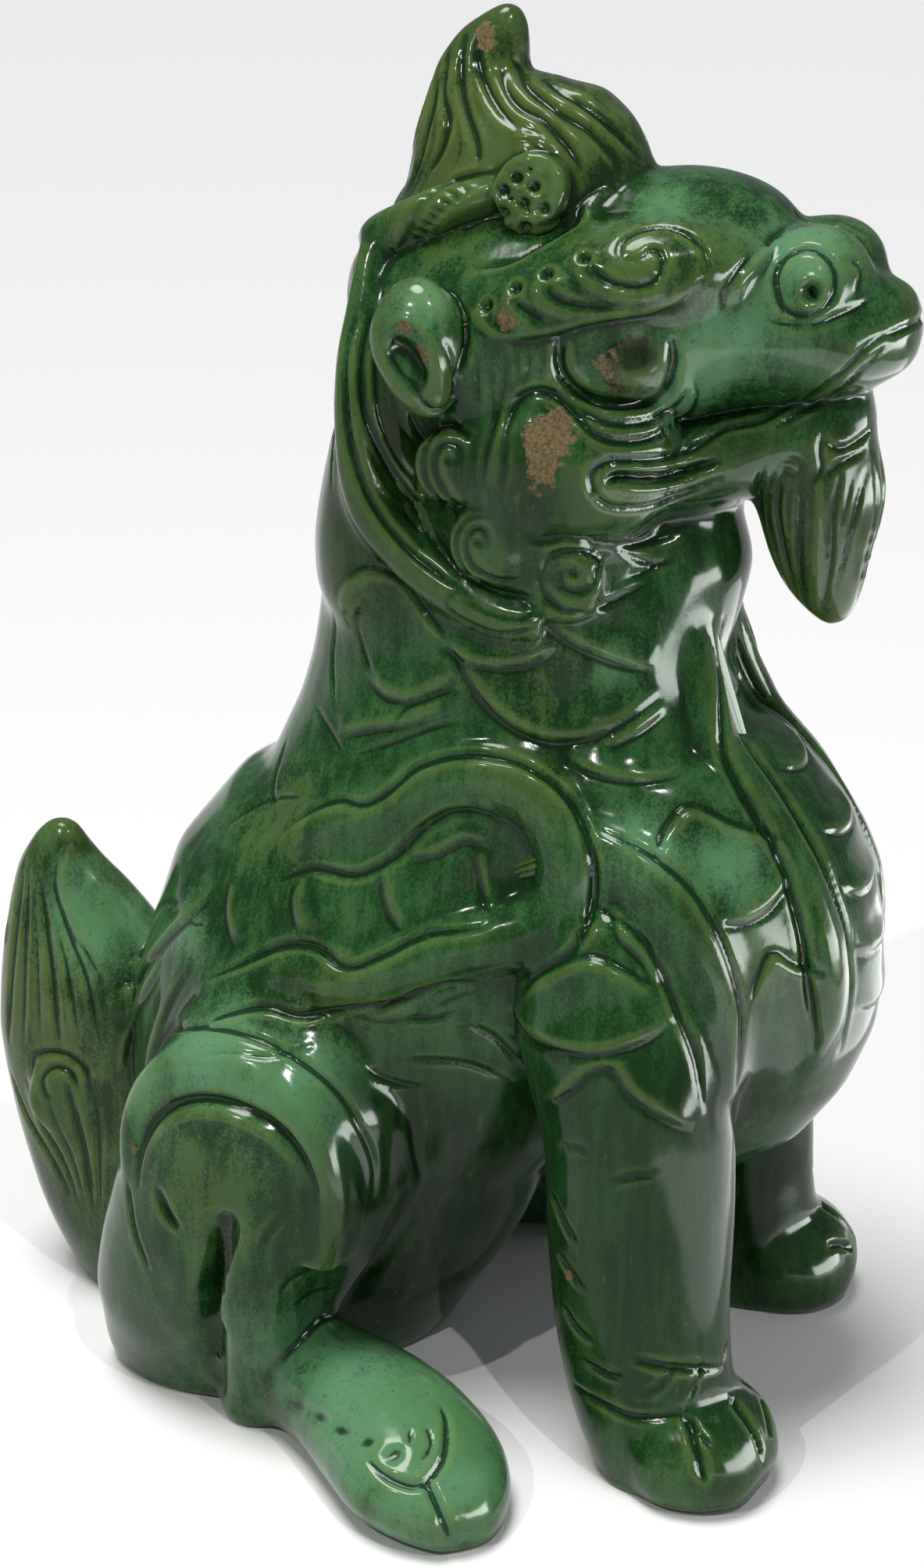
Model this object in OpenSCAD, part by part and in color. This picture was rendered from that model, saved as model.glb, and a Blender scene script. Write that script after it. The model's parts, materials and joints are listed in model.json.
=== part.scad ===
// Seated guardian lion in glazed stoneware, drawn as the clay sections that a potter
// builds separately and lutes together with slip before the single glaze firing.
// The lion looks along -Y and stands on the plane z = 0. Its left side is +X.

/* [Size] */
// Height of the statue from its soles to the tip of the crest
statue_h = 500; // [400:10:700]
// Mean thickness of the clay wall of the hollow sections
wall_t = 9; // [7:1:12]
// Diameter of the firing vent under the seat
vent_d = 30; // [20:2:40]

/* [Stance] */
// Distance between the middles of the two forepaws
fore_span = 136; // [124:2:140]
// Distance between the middles of the two hind paws
hind_span = 236; // [224:2:248]

/* [Detail] */
// Sides of the large lofted forms
form_sides = 32; // [24:2:36]
// Rings drawn between two neighbouring stations of a large loft
ring_steps = 2; // [2:1:3]

/* [Hidden] */

k = statue_h / 500;          // every length below is drawn for a statue 500 high
left = 1;
right = -1;
shift_f = -27;               // brings the middle of the statue's length over the origin
fore_x = fore_span / 2 / k;
hind_x = hind_span / 2 / k;
waist_z = 150;               // luting plane between the lower and the upper body
collar_z = 258;              // luting plane between the upper body and the neck
nape_z = 345;                // luting plane between the neck and the skull
small_sides = 16;
far_out = 400;

green = "#2f6b3c";
dark_green = "#244f2e";
light_green = "#4c8a56";
brown = "#6b4a2f";

// A place f forward, z up and x to the lion's left.
function at(f, z, x = 0) = [x, shift_f - f, z];

// Catmull-Rom blend through a list of numbers or points.
function blend4(a, b, c, d, t) =
    0.5 * ((2 * b) + (c - a) * t + (2 * a - 5 * b + 4 * c - d) * t * t
    + (3 * b - a - 3 * c + d) * t * t * t);
function pick(list, i) = list[max(0, min(len(list) - 1, i))];
function along(list, u) =
    let (i = max(0, min(floor(u), len(list) - 2)), t = u - i)
    blend4(pick(list, i - 1), list[i], pick(list, i + 1), pick(list, i + 2), t);
function unit(v) = v / norm(v);

// Rings of a loft are [middle, half width across X, half depth in the side plane].
function thinner(rings, by) = [for (r = rings) [r[0], r[1] - by, r[2] - by]];

module loft(rings, sides = small_sides, steps = 2) {
    middles = [for (r = rings) r[0]];
    widths = [for (r = rings) r[1]];
    depths = [for (r = rings) r[2]];
    ends = len(rings) - 1;
    last = ends * steps;
    points = [for (i = [0 : last]) let (
        u = i / steps,
        ahead = along(middles, min(u + 0.05, ends)) - along(middles, max(u - 0.05, 0)),
        t = unit(ahead),
        across = unit([1, 0, 0] - t[0] * t),
        deep = cross(t, across),
        w = max(0.5, along(widths, u)),
        d = max(0.5, along(depths, u)))
        for (j = [0 : sides - 1])
            along(middles, u) + across * w * cos(360 * j / sides) + deep * d * sin(360 * j / sides)];
    walls = [for (i = [0 : last - 1], j = [0 : sides - 1]) let (
        a = i * sides + j, b = i * sides + (j + 1) % sides)
        each [[a, a + sides, b], [b, a + sides, b + sides]]];
    caps = [[for (j = [0 : sides - 1]) j], [for (j = [sides - 1 : -1 : 0]) last * sides + j]];
    polyhedron(points = k * points, faces = concat(walls, caps), convexity = 6);
}

module ball(centre, radii, sides = small_sides)
    translate(k * centre) scale(k * radii) sphere(1, $fn = sides);

// Joins what it holds into one closed skin.
module one_skin() resize([0, 0, 0]) union() children();

module on_side(s) {
    if (s == left) children();
    else mirror([1, 0, 0]) children();
}

module slab(low, high)
    translate(k * [-far_out, -far_out, low]) cube(k * [2 * far_out, 2 * far_out, high - low]);

module above_floor() intersection() {
    children();
    slab(0, far_out * 2);
}

// ---- Trunk: seat, barrel, breast and neck in one outline ----
trunk_rings = [
    [at(-62, -8), 42, 43], [at(-62, 14), 54, 56], [at(-61, 40), 66, 69], [at(-57, 72), 75, 79],
    [at(-50, 110), 80, 88], [at(-33, 150), 80, 95], [at(-5, 190), 76, 88], [at(8, 230), 67, 82],
    [at(13, 270), 59, 75], [at(14, 310), 55, 71], [at(12, 350), 50, 60], [at(6, 380), 42, 42]];
breast_rings = [
    [at(62, 340), 23, 26], [at(66, 320), 33, 31], [at(58, 288), 44, 31], [at(58, 255), 56, 39],
    [at(69, 225), 66, 57], [at(76, 195), 70, 70], [at(74, 165), 68, 75], [at(65, 138), 59, 67],
    [at(50, 118), 40, 46],
    [at(36, 105), 14, 20]];

module trunk_form() above_floor() union() {
    loft(trunk_rings, form_sides, ring_steps);
    loft(breast_rings, form_sides, ring_steps);
}

module trunk_hollow() union() {
    intersection() {
        loft(thinner(trunk_rings, wall_t / k), small_sides);
        slab(wall_t / k, far_out);
    }
    loft([for (r = breast_rings) [r[0], r[1] - wall_t / k, r[2] - wall_t / k - 3]], small_sides);
}

module trunk_section(low, high) color(green) one_skin() difference() {
    intersection() {
        trunk_form();
        slab(low, high);
    }
    trunk_hollow();
    translate([0, k * at(-62, 0)[1], -1]) cylinder(d = vent_d, h = wall_t + 2, $fn = 48);
}

module lower_body() trunk_section(0, waist_z);
module upper_body() trunk_section(waist_z, collar_z);
module neck() trunk_section(collar_z, nape_z);

// ---- Head ----
skull_rings = [
    [at(-40, 385), 20, 26], [at(-20, 390), 50, 43], [at(18, 394), 62, 49], [at(58, 402), 55, 41],
    [at(90, 404), 43, 34], [at(115, 401), 36, 27], [at(134, 401), 28, 20], [at(145, 405), 15, 13],
    [at(149, 406), 7, 7]];

module skull_form() union() {
    loft(skull_rings, form_sides, ring_steps);
    ball(at(72, 425), [38, 40, 25], 24);
}

module skull() color(green) one_skin() difference() {
    skull_form();
    intersection() {
        trunk_form();
        slab(0, nape_z);
    }
    loft(thinner([for (i = [1 : 4]) skull_rings[i]], wall_t / k + 2), small_sides);
    trunk_hollow();
    for (s = [left, right]) on_side(s) ball(eye_place, eye_r * [1, 1, 1]);
}

jaw_rings = [
    [at(-4, 348), 26, 17], [at(38, 347), 42, 21], [at(80, 354), 37, 20], [at(108, 365), 27, 15],
    [at(125, 371), 18, 12], [at(136, 374), 9, 8]];

module jaw_form() loft(jaw_rings, 20);

module lower_jaw() color(green) one_skin() difference() {
    jaw_form();
    skull_form();
    trunk_form();
}

module beard() color(dark_green) one_skin() difference() {
    loft([[at(115, 366), 22, 21], [at(119, 345), 21, 23], [at(121, 325), 17, 18],
        [at(125, 308), 10, 11], [at(127, 298), 3, 3]], 18);
    jaw_form();
    skull_form();
}

module nose_form() union()
    for (s = [left, right]) on_side(s) ball(at(117, 417, 12), [21, 20, 18]);

module nose() color(green) one_skin() difference() {
    nose_form();
    skull_form();
}

module nostril(s) color(light_green) on_side(s)
    translate(k * at(116, 414, 30)) rotate([0, 90, 12])
        rotate_extrude($fn = 32) translate([k * 7, 0]) circle(k * 3.5, $fn = 24);

eye_place = at(65, 394, 43);
eye_r = 13;

module eye(s) color(brown) on_side(s) difference() {
    translate(k * eye_place) sphere(k * (eye_r - 0.3), $fn = 48);
    translate(k * (eye_place + at(2, 0, 10) - at(0, 0))) rotate([0, 90, 0]) cylinder(k * 6, r = k * 3, $fn = 24);
}

module brow_form(s) on_side(s) loft([[at(10, 402, 50), 10, 7], [at(34, 411, 47), 16, 13],
    [at(60, 419, 38), 22, 18], [at(84, 422, 29), 21, 17], [at(99, 420, 21), 13, 12]]);

module brow(s) color(light_green) one_skin() difference() {
    brow_form(s);
    skull_form();
    on_side(s) ball(eye_place, (eye_r + 0.3) * [1, 1, 1]);
}

module cheek_form(s) on_side(s) ball(at(38, 358, 34), [32, 43, 33], 20);

module cheek(s) color(green) one_skin() difference() {
    cheek_form(s);
    skull_form();
    jaw_form();
    trunk_form();
}

module ear(s) color(green) one_skin() difference() {
    on_side(s) loft([[at(-9, 414, 57), 6, 8], [at(-4, 408, 62), 10, 15], [at(-1, 395, 65), 10, 15],
        [at(2, 382, 63), 7, 10], [at(4, 374, 60), 3, 4]], 14);
    on_side(s) ball(at(-2, 396, 76), [6, 9, 14], 14);
    skull_form();
    mane_form();
}

// ---- Crest, mane and their ornaments ----
module crest_form() loft([[at(13, 420), 34, 45], [at(14, 437), 34, 47], [at(11, 450), 30, 44],
    [at(4, 465), 22, 30], [at(1, 479), 13, 17], [at(7, 491), 8, 10], [at(11, 500), 3, 3]], 20);

module crest() color(dark_green) one_skin() difference() {
    crest_form();
    skull_form();
    for (s = [left, right]) brow_form(s);
}

module mane_form() loft([[at(-17, 420), 24, 14], [at(-13, 402), 48, 22], [at(-19, 365), 54, 28],
    [at(-24, 335), 56, 30], [at(-25, 308), 54, 32], [at(-19, 284), 44, 26]], 20);
module curl_pad(s) on_side(s) ball(at(24, 332, 34), [26, 36, 30], 18);

module mane() color(dark_green) one_skin() difference() {
    mane_form();
    trunk_form();
    skull_form();
    crest_form();
}

module mane_rope(s) color(light_green) one_skin() difference() {
    on_side(s) loft([[at(-26, 424, 34), 8, 6], [at(-27, 388, 49), 8, 8], [at(-25, 352, 55), 8, 8],
        [at(-16, 333, 56), 8, 8], [at(4, 316, 56), 8, 8], [at(22, 308, 55), 8, 7],
        [at(38, 304, 51), 7, 5]], 10);
    mane_form();
    curl_pad(s);
    trunk_form();
    skull_form();
}

module mane_curls(s) color(light_green) one_skin() difference() {
    union() {
        curl_pad(s);
        on_side(s) for (c = [[at(8, 357, 57), 12], [at(20, 332, 57), 12], [at(46, 320, 50), 13]])
            translate(k * c[0]) rotate([0, 90, 0]) cylinder(k * 10, r = k * c[1], center = true, $fn = 20);
    }
    mane_form();
    trunk_form();
    skull_form();
    jaw_form();
    cheek_form(s);
}

module boss(s) color(light_green) on_side(s) translate(k * at(29, 443, 30)) rotate([0, 76, 0])
    difference() {
        cylinder(k * 12, r = k * 12, $fn = 40);
        for (a = [0 : 60 : 300]) rotate(a) translate(k * [6.5, 0, 8]) cylinder(k * 5, r = k * 1.6, $fn = 16);
        translate(k * [0, 0, 8]) cylinder(k * 5, r = k * 1.6, $fn = 16);
    }

module tuft(s) color(green) one_skin() difference() {
    on_side(s) loft([[at(-33, 423, 20), 5, 5], [at(-27, 426, 28), 8, 8], [at(-13, 433, 34), 8, 8],
        [at(4, 440, 36), 7, 7], [at(16, 444, 34), 5, 5]], 12);
    skull_form();
    crest_form();
    mane_form();
}

// ---- Legs ----
module foreleg_form(s) on_side(s) loft([[at(58, 205, fore_x - 14), 20, 28],
    [at(70, 165, fore_x - 10), 27, 37], [at(79, 125, fore_x - 5), 27, 34],
    [at(81, 85, fore_x - 2), 25, 33], [at(84, 50, fore_x), 25, 31],
    [at(90, 20, fore_x), 26, 29], [at(94, -10, fore_x), 23, 22]], 20);

module foreleg(s) color(green) one_skin() difference() {
    above_floor() foreleg_form(s);
    trunk_form();
}

module forepaw_form(s) on_side(s) loft([[at(82, 14, fore_x), 18, 19], [at(93, 15, fore_x + 1), 28, 26],
    [at(108, 14, fore_x + 4), 31, 25], [at(121, 10, fore_x + 7), 26, 19],
    [at(130, 6, fore_x + 9), 14, 9]], 20);

module forepaw(s) color(light_green) one_skin() difference() {
    above_floor() forepaw_form(s);
    foreleg_form(s);
}

haunch_rings = [
    [at(-91, -6, 54), 23, 38], [at(-86, 30, 65), 29, 45], [at(-71, 68, 73), 35, 49],
    [at(-54, 110, 72), 38, 53], [at(-50, 145, 66), 32, 41], [at(-46, 170, 56), 16, 20]];

module haunch_form(s) on_side(s) loft(haunch_rings, 22);

// The valley that parts the rump from the shank.
module knee_valley(s) on_side(s) loft([[at(-57, 105, 119), 8, 5], [at(-60, 84, 118), 13, 8],
    [at(-65, 56, 112), 15, 10], [at(-71, 20, 106), 15, 11], [at(-75, -10, 102), 15, 12]], 12);

module haunch(s) color(green) one_skin() difference() {
    above_floor() haunch_form(s);
    knee_valley(s);
    trunk_form();
    on_side(s) loft([for (r = haunch_rings) [r[0] - [8, 0, 0], r[1] - wall_t / k, r[2] - wall_t / k - 2]], 12, 1);
}

module haunch_scroll(s) color(light_green) one_skin() difference() {
    on_side(s) loft([for (a = [205 : -30 : -35])
        [at(-62 + 41 * cos(a), 102 + 43 * sin(a), 92 + 6 * cos(a)), 10,
            7 + 5 * sin(a) * sin(a) + cos(a)]], 10);
    haunch_form(s);
    trunk_form();
    shank_form(s);
}

module shank_form(s) on_side(s) loft([[at(-40, 128, 81), 19, 18], [at(-43, 100, 88), 22, 22],
    [at(-49, 70, 91), 21, 20], [at(-54, 42, 87), 20, 20], [at(-57, 16, 81), 19, 18],
    [at(-58, -6, 78), 17, 15]], 18);

module shank(s) color(green) one_skin() difference() {
    above_floor() shank_form(s);
    haunch_form(s);
    trunk_form();
}

module hind_paw_form(s) on_side(s) loft([[at(-62, 19, hind_x - 38), 14, 17],
    [at(-44, 21, hind_x - 35), 19, 24], [at(-21, 20, hind_x - 26), 24, 24],
    [at(4, 18, hind_x - 10), 30, 25], [at(22, 14, hind_x + 5), 32, 22],
    [at(35, 10, hind_x + 18), 24, 15], [at(42, 7, hind_x + 26), 12, 9]], 18);

module hind_paw(s) color(light_green) one_skin() difference() {
    above_floor() hind_paw_form(s);
    shank_form(s);
    haunch_form(s);
    trunk_form();
}

// ---- Tail ----
module tail_form() loft([[at(-121, -6), 30, 36], [at(-129, 18), 32, 46], [at(-137, 46), 32, 52],
    [at(-148, 82), 30, 50], [at(-158, 116), 27, 45], [at(-167, 150), 19, 32],
    [at(-172, 174), 11, 18], [at(-170, 191), 4, 5]], 20);

module tail() color(dark_green) one_skin() difference() {
    above_floor() tail_form();
    trunk_form();
    for (s = [left, right]) haunch_form(s);
}

module tail_curl(s) color(light_green) one_skin() difference() {
    on_side(s) translate(k * at(-164, 84, 22)) rotate([0, 90, 0])
        cylinder(k * 16, r = k * 14, center = true, $fn = 28);
    tail_form();
}

// ---- Applied bands on the flanks, shoulders and breast ----
module flank_ribbon(s) color(light_green) one_skin() difference() {
    on_side(s) loft([[at(-62, 208, 53), 8, 5], [at(-46, 218, 53), 11, 11], [at(-28, 228, 56), 11, 12],
        [at(-11, 234, 59), 11, 13], [at(4, 246, 59), 11, 13], [at(24, 252, 58), 11, 13],
        [at(43, 243, 57), 12, 13], [at(53, 222, 60), 12, 13], [at(44, 202, 63), 12, 13],
        [at(18, 193, 69), 11, 13], [at(-6, 183, 73), 11, 12], [at(-30, 175, 74), 11, 12],
        [at(-50, 174, 71), 11, 11], [at(-68, 167, 68), 10, 9], [at(-84, 157, 63), 8, 5]], 8);
    trunk_form();
    foreleg_form(s);
}

module shoulder_ribbon(s) color(light_green) one_skin() difference() {
    on_side(s) loft([[at(56, 238, 56), 8, 5], [at(68, 230, 60), 10, 12], [at(83, 219, 61), 10, 13],
        [at(95, 203, 61), 10, 13], [at(102, 185, 60), 10, 12], [at(106, 165, 59), 10, 11],
        [at(108, 145, 61), 9, 6]], 10);
    trunk_form();
    foreleg_form(s);
}

module breast_band(s) color(light_green) one_skin() difference() {
    on_side(s) loft([[at(84, 314, 16), 5, 3], [at(86, 286, 23), 8, 7], [at(94, 258, 28), 9, 9],
        [at(107, 241, 31), 9, 10], [at(120, 222, 33), 9, 10], [at(134, 197, 35), 9, 8],
        [at(136, 168, 35), 9, 8], [at(124, 142, 32), 8, 7], [at(110, 126, 28), 5, 4]], 10);
    trunk_form();
}

lower_body();
upper_body();
neck();
mane();
skull();
lower_jaw();
beard();
nose();
crest();
tail();
foreleg(left);  // foreleg_left
foreleg(right);  // foreleg_right
forepaw(left);  // forepaw_left
forepaw(right);  // forepaw_right
haunch(left);  // haunch_left
haunch(right);  // haunch_right
shank(left);  // shank_left
shank(right);  // shank_right
hind_paw(left);  // hind_paw_left
hind_paw(right);  // hind_paw_right
haunch_scroll(left);  // haunch_scroll_left
haunch_scroll(right);  // haunch_scroll_right
flank_ribbon(left);  // flank_ribbon_left
flank_ribbon(right);  // flank_ribbon_right
shoulder_ribbon(left);  // shoulder_ribbon_left
shoulder_ribbon(right);  // shoulder_ribbon_right
breast_band(left);  // breast_band_left
breast_band(right);  // breast_band_right
brow(left);  // brow_left
brow(right);  // brow_right
cheek(left);  // cheek_left
cheek(right);  // cheek_right
eye(left);  // eye_left
eye(right);  // eye_right
nostril(left);  // nostril_left
nostril(right);  // nostril_right
ear(left);  // ear_left
ear(right);  // ear_right
boss(left);  // boss_left
boss(right);  // boss_right
tuft(left);  // tuft_left
tuft(right);  // tuft_right
mane_rope(left);  // mane_rope_left
mane_rope(right);  // mane_rope_right
mane_curls(left);  // mane_curls_left
mane_curls(right);  // mane_curls_right
tail_curl(left);  // tail_curl_left
tail_curl(right);  // tail_curl_right
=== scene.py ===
"""Looks of the guardian lion: one fired skin over the CAD sections, tooled, glazed, cut at the joints."""
import json
import math

import bpy
import numpy as np
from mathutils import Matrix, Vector
from mathutils.bvhtree import BVHTree


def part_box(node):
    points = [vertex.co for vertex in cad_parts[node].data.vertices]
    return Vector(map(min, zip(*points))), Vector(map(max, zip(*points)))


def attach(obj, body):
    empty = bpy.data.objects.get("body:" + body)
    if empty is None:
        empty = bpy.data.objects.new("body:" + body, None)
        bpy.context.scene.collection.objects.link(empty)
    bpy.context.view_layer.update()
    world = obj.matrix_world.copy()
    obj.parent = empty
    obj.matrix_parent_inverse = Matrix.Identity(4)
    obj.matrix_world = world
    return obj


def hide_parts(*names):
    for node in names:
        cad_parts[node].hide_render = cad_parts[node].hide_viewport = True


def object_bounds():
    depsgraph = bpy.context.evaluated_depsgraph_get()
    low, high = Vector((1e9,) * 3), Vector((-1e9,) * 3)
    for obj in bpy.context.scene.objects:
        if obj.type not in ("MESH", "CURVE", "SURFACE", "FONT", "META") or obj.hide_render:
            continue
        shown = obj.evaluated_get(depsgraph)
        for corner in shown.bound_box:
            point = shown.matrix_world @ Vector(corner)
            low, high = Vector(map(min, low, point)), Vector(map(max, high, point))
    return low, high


MM = 0.001
SHIFT = -27.0              # y = SHIFT - forward, in mm, as in the CAD frame
FINE = 0.00115             # grid of the skin
VENT = -62.0               # forward place of the firing vent, in mm
RECESS = 0.024             # how far the skin follows the firing vent into the seat
SPACING = 0.0008           # between the points of a stroke
WIDTH_SHARE = 0.86         # how much of a stroke's width and depth is really cut
DEPTH_SHARE = 0.88

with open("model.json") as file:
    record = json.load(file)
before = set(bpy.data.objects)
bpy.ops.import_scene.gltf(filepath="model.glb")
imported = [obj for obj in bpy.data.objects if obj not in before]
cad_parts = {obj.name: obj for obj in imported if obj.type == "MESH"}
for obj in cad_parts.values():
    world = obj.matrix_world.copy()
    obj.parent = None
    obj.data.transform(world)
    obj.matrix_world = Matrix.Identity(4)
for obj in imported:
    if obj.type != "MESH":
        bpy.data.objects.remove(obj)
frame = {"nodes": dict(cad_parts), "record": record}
cad_low, cad_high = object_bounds()
nodes = frame["nodes"]
names = sorted(nodes)
grid = FINE


# ---------------------------------------------------------------- the CAD sections as one skin

def node_mesh(name):
    """Points and triangles of a CAD node."""
    mesh = nodes[name].data
    mesh.calc_loop_triangles()
    points = np.empty(len(mesh.vertices) * 3, np.float32)
    mesh.vertices.foreach_get("co", points)
    tris = np.empty(len(mesh.loop_triangles) * 3, np.int32)
    mesh.loop_triangles.foreach_get("vertices", tris)
    return points.reshape(-1, 3).astype(float), tris.reshape(-1, 3)


def vent_cup():
    """A closed cup above the vent, so the skin ends inside the vent and doesn't line the hollow."""
    floor_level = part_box("lower_body")[0][2]
    inner, outer, bottom, top = 0.0149, 0.027, 0.006, RECESS + 0.012
    outline = [(inner, bottom), (outer, bottom), (outer, top), (0.0, top), (0.0, RECESS), (inner, RECESS)]
    sides = 48
    points, tris = [], []
    for r, z in outline:
        for i in range(sides):
            a = 2 * math.pi * i / sides
            points.append((r * math.cos(a), (SHIFT - VENT) * MM + r * math.sin(a), floor_level + z))
    rings = len(outline)
    for j in range(rings):
        for i in range(sides):
            a, b = j * sides + i, j * sides + (i + 1) % sides
            c, d = ((j + 1) % rings) * sides + i, ((j + 1) % rings) * sides + (i + 1) % sides
            tris += [(a, b, d), (a, d, c)]
    return np.array(points), np.array(tris)


def remesh(points, tris, size):
    """Voxel remesh: points and quads of the skin round everything given."""
    mesh = bpy.data.meshes.new("raw")
    mesh.from_pydata(points.tolist(), [], tris.tolist())
    obj = bpy.data.objects.new("raw", mesh)
    bpy.context.collection.objects.link(obj)
    mod = obj.modifiers.new("skin", "REMESH")
    mod.mode = "VOXEL"
    mod.voxel_size = size
    mod.adaptivity = 0
    result = obj.evaluated_get(bpy.context.evaluated_depsgraph_get()).to_mesh()
    v = np.empty(len(result.vertices) * 3, np.float32)
    result.vertices.foreach_get("co", v)
    q = np.empty(len(result.loops), np.int32)
    result.loops.foreach_get("vertex_index", q)
    bpy.data.objects.remove(obj)
    bpy.data.meshes.remove(mesh)
    return v.reshape(-1, 3).astype(float), q.reshape(-1, 4)


def edges_of(q):
    """The four edges of each quad, one side after the other."""
    return np.concatenate([q[:, [0, 1]], q[:, [1, 2]], q[:, [2, 3]], q[:, [3, 0]]])


def islands(count, pairs):
    """The lowest index joined to each item through the pairs."""
    root = np.arange(count)
    while True:
        a, b = root[pairs[:, 0]], root[pairs[:, 1]]
        apart = a != b
        if not apart.any():
            return root
        pairs, a, b = pairs[apart], a[apart], b[apart]
        np.minimum.at(root, np.maximum(a, b), np.minimum(a, b))
        while (root[root] != root).any():
            root = root[root]


def outer_only(v, q):
    """Drops the lining of the hollow: points are grouped in small cells, and the group of cells that
    holds the highest point stays."""
    cell = np.floor(v / 0.004).astype(np.int64) + 1000
    key = (cell[:, 0] * 4000 + cell[:, 1]) * 4000 + cell[:, 2]
    _, key = np.unique(key, return_inverse=True)
    pairs = key[edges_of(q)]
    pairs = np.unique(pairs[pairs[:, 0] != pairs[:, 1]], axis=0)
    root = islands(key.max() + 1, pairs)[key]
    best = root[np.argmax(v[:, 2])]
    keep = root == best
    index = np.cumsum(keep) - 1
    return v[keep], index[q[keep[q].all(axis=1)]]


def pair_table(q):
    """Unique edges, and the quad on the other side of each quad's four edges."""
    e = np.sort(edges_of(q), axis=1)
    key = e[:, 0].astype(np.int64) * (q.max() + 1) + e[:, 1]
    order = np.argsort(key, kind="stable")
    sorted_key = key[order]
    first = np.flatnonzero(np.r_[True, sorted_key[1:] != sorted_key[:-1]])
    size = np.diff(np.r_[first, len(key)])
    faces = len(q)
    other = np.tile(np.arange(faces), 4)
    two = first[size == 2]
    a, b = order[two], order[two + 1]
    other[a], other[b] = b % faces, a % faces
    return e[order[first]], other.reshape(4, faces).T


def spread(values, e, count):
    """Sum over each point's neighbours."""
    out = np.empty((count, values.shape[1]))
    for k in range(values.shape[1]):
        out[:, k] = np.bincount(e[:, 0], values[e[:, 1], k], count)
        out[:, k] += np.bincount(e[:, 1], values[e[:, 0], k], count)
    return out


def relax(values, e, times, rate=0.6):
    """Plain averaging with the neighbours."""
    flat = values.ndim == 1
    x = values.reshape(len(values), -1).astype(float)
    degree = np.maximum(np.bincount(e.ravel(), minlength=len(x)), 1)[:, None]
    for _ in range(times):
        x = x + rate * (spread(x, e, len(x)) / degree - x)
    return x[:, 0] if flat else x


def unit(n):
    return n / np.maximum(np.linalg.norm(n, axis=1, keepdims=True), 1e-15)


def across_quads(v, q):
    """Normals of the quads, as long as twice the quad's area."""
    return np.cross(v[q[:, 2]] - v[q[:, 0]], v[q[:, 3]] - v[q[:, 1]])


def point_normals(v, q):
    n = across_quads(v, q)
    out = np.zeros_like(v)
    for c in range(4):
        for k in range(3):
            out[:, k] += np.bincount(q[:, c], n[:, k], len(v))
    return unit(out)


def soften_facets(v, q, other, turns, moves, keep_angle):
    """Evens out the flats of the lofts and keeps creases sharper than keep_angle (cosine)."""
    n = unit(across_quads(v, q))
    for _ in range(turns):
        total = n.copy()
        for k in range(4):
            m = n[other[:, k]]
            w = np.maximum((n * m).sum(axis=1) - keep_angle, 0) ** 2
            total += m * (w / (1 - keep_angle) ** 2)[:, None]
        n = total / np.linalg.norm(total, axis=1, keepdims=True)
    share = np.bincount(q.ravel(), minlength=len(v))[:, None]
    for _ in range(moves):
        centre = v[q].mean(axis=1)
        step = np.zeros_like(v)
        for c in range(4):
            gap = ((centre - v[q[:, c]]) * n).sum(axis=1)[:, None] * n
            for k in range(3):
                step[:, k] += np.bincount(q[:, c], gap[:, k], len(v))
        v = v + step / share
    return v


parts = [node_mesh(n) for n in names]
cup = vent_cup()
all_points = np.concatenate([p for p, t in parts] + [cup[0]])
starts = np.cumsum([0] + [len(p) for p, t in parts])
all_tris = np.concatenate([t + s for (p, t), s in zip(parts, starts)] + [cup[1] + starts[-1]])
owner = np.concatenate([np.full(len(t), i) for i, (p, t) in enumerate(parts)])
points, quads = remesh(all_points, all_tris, grid)
points, quads = outer_only(points, quads)
edges, beside = pair_table(quads)

cad_tree = BVHTree.FromPolygons(all_points[:starts[-1]].tolist(), all_tris[:len(owner)].tolist())
centres = points[quads].mean(axis=1)
label = np.array([owner[cad_tree.find_nearest(p)[2]] for p in centres.tolist()])

scale = FINE / grid
points = relax(points, edges, 2)
points = soften_facets(points, quads, beside, int(110 * scale * scale), int(30 * scale), 0.80)
points = relax(points, edges, max(2, int(6 * scale * scale)))


# ---------------------------------------------------------------- tool marks

skin_tree = BVHTree.FromPolygons(points.tolist(), quads.tolist())
normals = point_normals(points, quads)
relief = np.zeros(len(points))


def curve_through(pts, closed=False):
    """Catmull-Rom curve through points in mm, sampled evenly, in metres."""
    p = np.array(pts, float) * MM
    if closed:
        p = np.vstack([p[-1], p, p[0], p[1]])
    else:
        p = np.vstack([2 * p[0] - p[1], p, 2 * p[-1] - p[-2]])
    out = []
    for a, b, c, d in zip(p[:-3], p[1:-2], p[2:-1], p[3:]):
        for t in np.linspace(0, 1, 12, endpoint=False):
            out.append(0.5 * (2 * b + (c - a) * t + (2 * a - 5 * b + 4 * c - d) * t * t
                              + (3 * b - a - 3 * c + d) * t ** 3))
    out.append(p[-2])
    out = np.array(out)
    along = np.r_[0, np.cumsum(np.linalg.norm(np.diff(out, axis=0), axis=1))]
    count = max(3, int(along[-1] / SPACING))
    t = np.linspace(0, along[-1], count)
    return np.column_stack([np.interp(t, along, out[:, k]) for k in range(out.shape[1])])


def on_skin(path, side, view):
    """Puts a curve on the skin. Side curves are (forward, z), front and back ones (out, z).
    Slanted ones are (out, forward, z) and come down on the skin from outside and in front."""
    found = []
    for p in path:
        if view == "side":
            hit = skin_tree.ray_cast(Vector((side * 0.4, SHIFT * MM - p[0], p[1])), Vector((-side, 0, 0)))
        elif view == "front":
            hit = skin_tree.ray_cast(Vector((side * p[0], -0.4, p[1])), Vector((0, 1, 0)))
        elif view == "back":
            hit = skin_tree.ray_cast(Vector((side * p[0], 0.4, p[1])), Vector((0, -1, 0)))
        else:
            slant = Vector((-side * 0.888, 0.306, -0.342))
            hit = skin_tree.ray_cast(Vector((side * p[0], SHIFT * MM - p[1], p[2])) - slant * 0.08, slant)
        if hit[0] is not None:
            found.append(hit[0])
    return np.array(found)


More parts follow.
